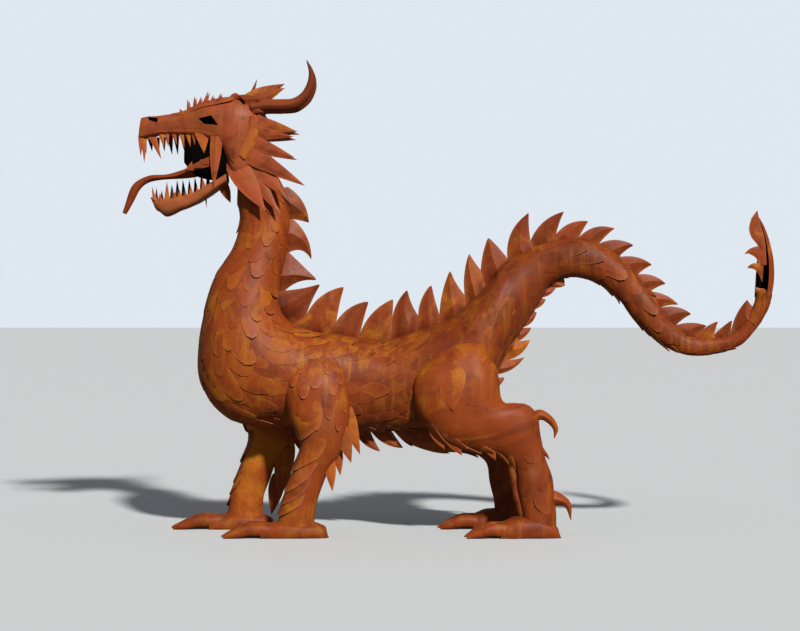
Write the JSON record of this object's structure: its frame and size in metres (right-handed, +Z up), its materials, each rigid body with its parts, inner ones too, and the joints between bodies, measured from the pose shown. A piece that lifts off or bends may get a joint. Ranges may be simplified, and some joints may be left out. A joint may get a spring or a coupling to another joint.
{
  "type": "steel dragon sculpture",
  "caption": "Standing dragon welded from rusted steel plate: scaled neck and trunk, gaping horned head, crest of folded plates, clawed feet and a raised, hooked tail.",
  "frame": {"origin": "on the ground under the middle of the figure's box", "axes": "+X from head to tail, +Y to the figure's right, +Z up"},
  "size_m": [3.7764, 0.7444, 2.7262],
  "materials": {
    "hide_patina": "weathering-steel rust, satin to matt, brown-orange with darker streaks",
    "leg_patina": "weathering-steel rust, satin to matt, brown-orange with darker streaks",
    "head_patina": "weathering-steel rust, satin to matt, brown-orange with darker streaks",
    "plate_patina": "weathering-steel rust, satin to matt, brown-orange with darker streaks",
    "horn_patina": "weathering-steel rust, satin to matt, brown-orange with darker streaks",
    "tongue_patina": "weathering-steel rust, satin to matt, brown-orange with darker streaks"
  },
  "bodies": {
    "root": {"beard_leaf": "plate_patina", "belly_plate_01": "plate_patina", "belly_plate_02": "plate_patina", "belly_plate_03": "plate_patina", "crest_plate_01": "plate_patina", "crest_plate_02": "plate_patina", "crest_plate_03": "plate_patina", "crest_plate_04": "plate_patina", "crest_plate_05": "plate_patina", "crest_plate_06": "plate_patina", "crest_plate_07": "plate_patina", "crest_plate_08": "plate_patina", "crest_plate_09": "plate_patina", "crest_plate_10": "plate_patina", "crest_plate_11": "plate_patina", "crest_plate_12": "plate_patina", "crest_plate_13": "plate_patina", "crest_plate_14": "plate_patina", "crest_plate_15": "plate_patina", "crest_plate_16": "plate_patina", "crest_plate_17": "plate_patina", "crest_plate_18": "plate_patina", "crest_plate_19": "plate_patina", "crest_plate_20": "plate_patina", "crest_plate_21": "plate_patina", "crest_plate_22": "plate_patina", "crest_plate_23": "plate_patina", "crest_plate_24": "plate_patina", "crest_plate_25": "plate_patina", "crown_leaf": "plate_patina", "front_leg_left": "leg_patina", "front_leg_right": "leg_patina", "hind_leg_left": "leg_patina", "hind_leg_right": "leg_patina", "horn_left": "horn_patina", "horn_right": "horn_patina", "lower_jaw": "head_patina", "mane_left": "head_patina", "mane_right": "head_patina", "scaled_trunk": "hide_patina", "skull": "head_patina", "tail_end": "plate_patina", "tongue": "tongue_patina", "under_tail_plate_01": "plate_patina", "under_tail_plate_02": "plate_patina", "under_tail_plate_03": "plate_patina", "under_tail_plate_04": "plate_patina", "under_tail_plate_05": "plate_patina", "under_tail_plate_06": "plate_patina", "under_tail_plate_07": "plate_patina", "under_tail_plate_08": "plate_patina"}
  },
  "joints": []
}
